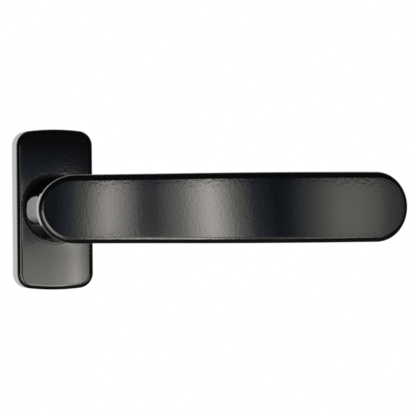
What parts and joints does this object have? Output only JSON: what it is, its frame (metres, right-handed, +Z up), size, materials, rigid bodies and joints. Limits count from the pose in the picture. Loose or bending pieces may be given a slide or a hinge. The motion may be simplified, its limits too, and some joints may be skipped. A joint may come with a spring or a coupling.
{
  "type": "bifold door lever handle",
  "caption": "Lever handle for a bifold door: an arched black lever on a round flared neck, turning in an oblong rose with a lift-off cover and a square spindle.",
  "frame": {"origin": "the spindle's axis where it crosses the door's face, on the back of the rose", "axes": "+X along the lever towards its tip, +Y into the door along the spindle, +Z up the door; the user stands on the -Y side"},
  "size_m": [0.1528, 0.0929, 0.064],
  "materials": {
    "black_coat": "semi-gloss black powder coat with fine orange peel",
    "black_nylon": "moulded black nylon",
    "natural_nylon": "moulded natural nylon",
    "zinc_casting": "as-cast zinc alloy",
    "plated_steel": "zinc plated steel",
    "spring_steel": "oiled spring steel"
  },
  "bodies": {
    "base": {"base_plate": "zinc_casting", "bearing_bush": "natural_nylon", "detent_spring": "spring_steel", "back_plate": "plated_steel", "plate_rivet_1": "plated_steel", "plate_rivet_2": "plated_steel", "plate_rivet_3": "plated_steel", "plate_rivet_4": "plated_steel", "fixing_screw_1": "plated_steel", "fixing_screw_2": "plated_steel"},
    "lever": {"lever": "black_coat", "detent_cam": "plated_steel", "retaining_ring": "spring_steel", "spindle": "plated_steel", "spindle_pin": "spring_steel"},
    "cover": {"rose_cover": "black_coat", "cover_collar": "black_nylon"}
  },
  "joints": [
    {"name": "lever_turn", "type": "hinge", "parent": "base", "child": "lever", "pos_m": [0, 0, 0], "axis": [0, -1, 0], "range_deg": [-90, 90], "deforming": ["detent_spring"]},
    {"name": "cover_lift", "type": "slide", "parent": "base", "child": "cover", "axis": [0, -1, 0], "range_m": [0, 0.018]}
  ]
}
